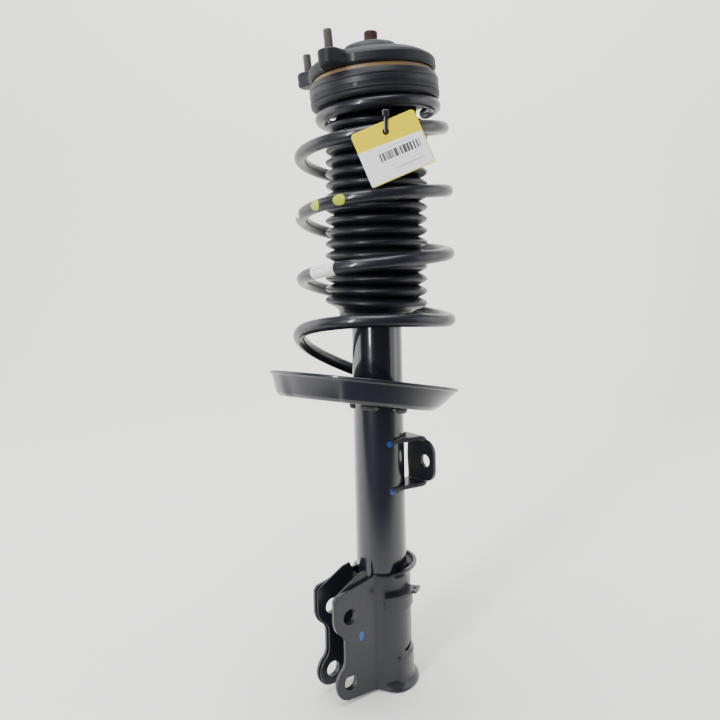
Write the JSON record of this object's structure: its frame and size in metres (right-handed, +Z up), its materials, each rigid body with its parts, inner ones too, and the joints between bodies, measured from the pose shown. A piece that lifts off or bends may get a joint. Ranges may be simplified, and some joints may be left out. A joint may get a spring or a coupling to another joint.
{
  "type": "strut assembly",
  "caption": "Suspension strut: damper tube with knuckle clevis and link bracket, coil spring on a tilted seat, bellows boot, swivelling top mount with studs.",
  "frame": {"origin": "on the damper axis, at the bottom face of the damper tube's base cap", "axes": "+Z up along the damper axis; -X towards the knuckle clevis; Y along the knuckle bolts; +X towards the stabiliser link"},
  "size_m": [0.1872, 0.1924, 0.643],
  "materials": {
    "black_paint": "semi-gloss black paint on a drawn steel tube",
    "bracket_paint": "semi-gloss black paint on pressed steel",
    "spring_paint": "gloss black powder coat on spring steel",
    "mount_paint": "satin black paint on a cast and pressed mount",
    "weld_metal": "painted weld bead",
    "bare_steel": "plain pressed steel",
    "sintered_steel": "sintered steel",
    "stud_steel": "grey phosphate",
    "rod_steel": "ground steel, rusty at the threaded tip",
    "ball_steel": "polished ball steel",
    "rubber": "matt black rubber",
    "boot_rubber": "satin black rubber",
    "black_plastic": "moulded black plastic",
    "race_plastic": "tan moulded plastic",
    "cage_plastic": "natural nylon",
    "foam": "microcellular foam",
    "tag_card": "coated card, yellow over white",
    "tie_plastic": "black nylon tie"
  },
  "bodies": {
    "strut_housing": {"outer_tube": "black_paint", "base_cap": "black_paint", "inner_cylinder": "bare_steel", "foot_valve": "sintered_steel", "rod_guide": "sintered_steel", "rod_seal": "rubber", "tube_end_cap": "bare_steel", "boot_ring": "black_plastic", "lower_spring_seat": "black_paint", "seat_weld": "weld_metal", "lower_spring_pad": "rubber", "knuckle_bracket": "bracket_paint", "clevis_channel": "bracket_paint", "hose_bracket": "bracket_paint", "link_bracket": "bracket_paint", "link_weld": "weld_metal", "coil_spring": "spring_paint", "dust_boot": "boot_rubber"},
    "spring_top": {"upper_spring_pad": "rubber", "upper_spring_seat": "mount_paint", "bump_stop": "foam", "bearing_lower_ring": "black_plastic", "tag_tie": "tie_plastic"},
    "ball_cage": {"bearing_cage": "cage_plastic", "bearing_balls": "ball_steel"},
    "top_mount": {"bearing_upper_ring": "race_plastic", "mount_plate": "mount_paint", "mount_rubber": "rubber", "mount_dome": "mount_paint", "tower_studs": "stud_steel"},
    "rod": {"piston_rod": "rod_steel", "piston": "sintered_steel", "piston_band": "black_plastic", "piston_nut": "stud_steel", "rebound_stop": "cage_plastic", "mount_sleeve": "bare_steel", "mount_washer": "bare_steel", "rod_nut": "stud_steel"},
    "tag": {"tag_card": "tag_card"}
  },
  "joints": [
    {"name": "damper_stroke", "type": "slide", "parent": "strut_housing", "child": "spring_top", "axis": [0, 0, 1], "range_m": [-0.118, 0], "stiffness_N_per_m": 25000, "springref_m": 0.02, "deforming": ["coil_spring", "dust_boot"]},
    {"name": "steer_swivel", "type": "hinge", "parent": "spring_top", "child": "top_mount", "pos_m": [0, 0, 0.6085], "axis": [-0.0624, 0.0475, 0.9969], "continuous": true},
    {"name": "rod_turn", "type": "hinge", "parent": "spring_top", "child": "rod", "pos_m": [0, 0, 0.6085], "axis": [0, 0, 1], "continuous": true},
    {"name": "cage_turn", "type": "hinge", "parent": "spring_top", "child": "ball_cage", "pos_m": [0, 0, 0.6085], "axis": [-0.0624, 0.0475, 0.9969], "continuous": true},
    {"name": "tag_swing", "type": "hinge", "parent": "spring_top", "child": "tag", "pos_m": [-0.04164, -0.07105, 0.52522], "axis": [-0.606, -0.7955, 0], "range_deg": [-45, 25]}
  ],
  "couplings": [
    {"joint": "rod_turn", "follows": "steer_swivel", "ratio": 1},
    {"joint": "cage_turn", "follows": "steer_swivel", "ratio": 0.5}
  ]
}
